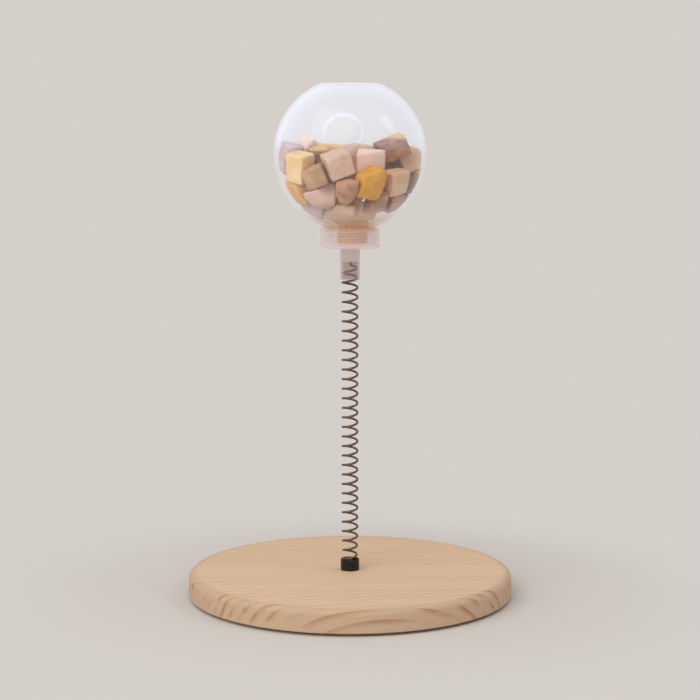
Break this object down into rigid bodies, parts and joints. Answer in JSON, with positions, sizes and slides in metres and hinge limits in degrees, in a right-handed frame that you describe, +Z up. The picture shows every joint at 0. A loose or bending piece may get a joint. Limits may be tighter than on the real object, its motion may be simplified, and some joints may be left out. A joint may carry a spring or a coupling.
{
  "type": "spring mounted treat ball",
  "caption": "Clear treat ball on a screw cap at the top of a long coil spring, in a ferrule on a round wooden base; an outlet in the ball's back drops treats when batted.",
  "frame": {"origin": "centre of the base where the pads meet the floor", "axes": "+Z up along the spring, -Y towards the front, +X to the right; the outlet is at the back"},
  "size_m": [0.1726, 0.1726, 0.2718],
  "materials": {
    "pine": "fine sanded, bare",
    "pad_rubber": "matt",
    "screw_steel": "zinc plated",
    "black_plastic": "satin",
    "spring_steel": "drawn wire",
    "cap_plastic": "translucent, moulded",
    "clear_plastic": "clear, polished",
    "treat_chicken": "dry, porous, freeze-dried",
    "treat_yolk": "dry, crumbly, freeze-dried",
    "treat_duck": "dry, porous, freeze-dried",
    "treat_beef": "dry, fibrous, freeze-dried",
    "treat_salmon": "dry, flaky, freeze-dried"
  },
  "bodies": {
    "base": {"wooden_base": "pine", "anti_slip_pads": "pad_rubber", "base_screw": "screw_steel", "spring_ferrule": "black_plastic"},
    "spring": {"coil_spring": "spring_steel"},
    "cap": {"screw_cap": "cap_plastic"},
    "treats": {"treat_beef_1": "treat_beef", "treat_beef_10": "treat_beef", "treat_beef_2": "treat_beef", "treat_beef_3": "treat_beef", "treat_beef_4": "treat_beef", "treat_beef_5": "treat_beef", "treat_beef_6": "treat_beef", "treat_beef_7": "treat_beef", "treat_beef_8": "treat_beef", "treat_beef_9": "treat_beef", "treat_chicken_1": "treat_chicken", "treat_chicken_2": "treat_chicken", "treat_chicken_3": "treat_chicken", "treat_chicken_4": "treat_chicken", "treat_chicken_5": "treat_chicken", "treat_chicken_6": "treat_chicken", "treat_chicken_7": "treat_chicken", "treat_chicken_8": "treat_chicken", "treat_chicken_9": "treat_chicken", "treat_duck_1": "treat_duck", "treat_duck_2": "treat_duck", "treat_duck_3": "treat_duck", "treat_duck_4": "treat_duck", "treat_duck_5": "treat_duck", "treat_duck_6": "treat_duck", "treat_duck_7": "treat_duck", "treat_duck_8": "treat_duck", "treat_salmon_1": "treat_salmon", "treat_salmon_2": "treat_salmon", "treat_salmon_3": "treat_salmon", "treat_salmon_4": "treat_salmon", "treat_yolk_1": "treat_yolk", "treat_yolk_2": "treat_yolk", "treat_yolk_3": "treat_yolk", "treat_yolk_4": "treat_yolk", "treat_yolk_5": "treat_yolk", "treat_yolk_6": "treat_yolk", "treat_yolk_7": "treat_yolk"},
    "ball": {"treat_ball": "clear_plastic"}
  },
  "joints": [
    {"name": "sway_front_back", "type": "hinge", "parent": "base", "child": "spring", "pos_m": [0, 0, 0.057], "axis": [1, 0, 0], "range_deg": [-35, 35], "stiffness_Nm_per_rad": 0.25, "deforming": ["coil_spring"]},
    {"name": "sway_side", "type": "hinge", "parent": "spring", "child": "cap", "pos_m": [0, 0, 0.132], "axis": [0, 1, 0], "range_deg": [-35, 35], "stiffness_Nm_per_rad": 0.15, "deforming": ["coil_spring"]},
    {"name": "ball_lift", "type": "slide", "parent": "cap", "child": "treats", "axis": [0, 0, 1], "range_m": [0, 0.0046]},
    {"name": "ball_turn", "type": "hinge", "parent": "treats", "child": "ball", "pos_m": [0, 0, 0.23506], "axis": [0, 0, 1], "range_deg": [0, 540]}
  ],
  "couplings": [
    {"joint": "ball_lift", "follows": "ball_turn", "m_per_rad": 0.00047746}
  ]
}
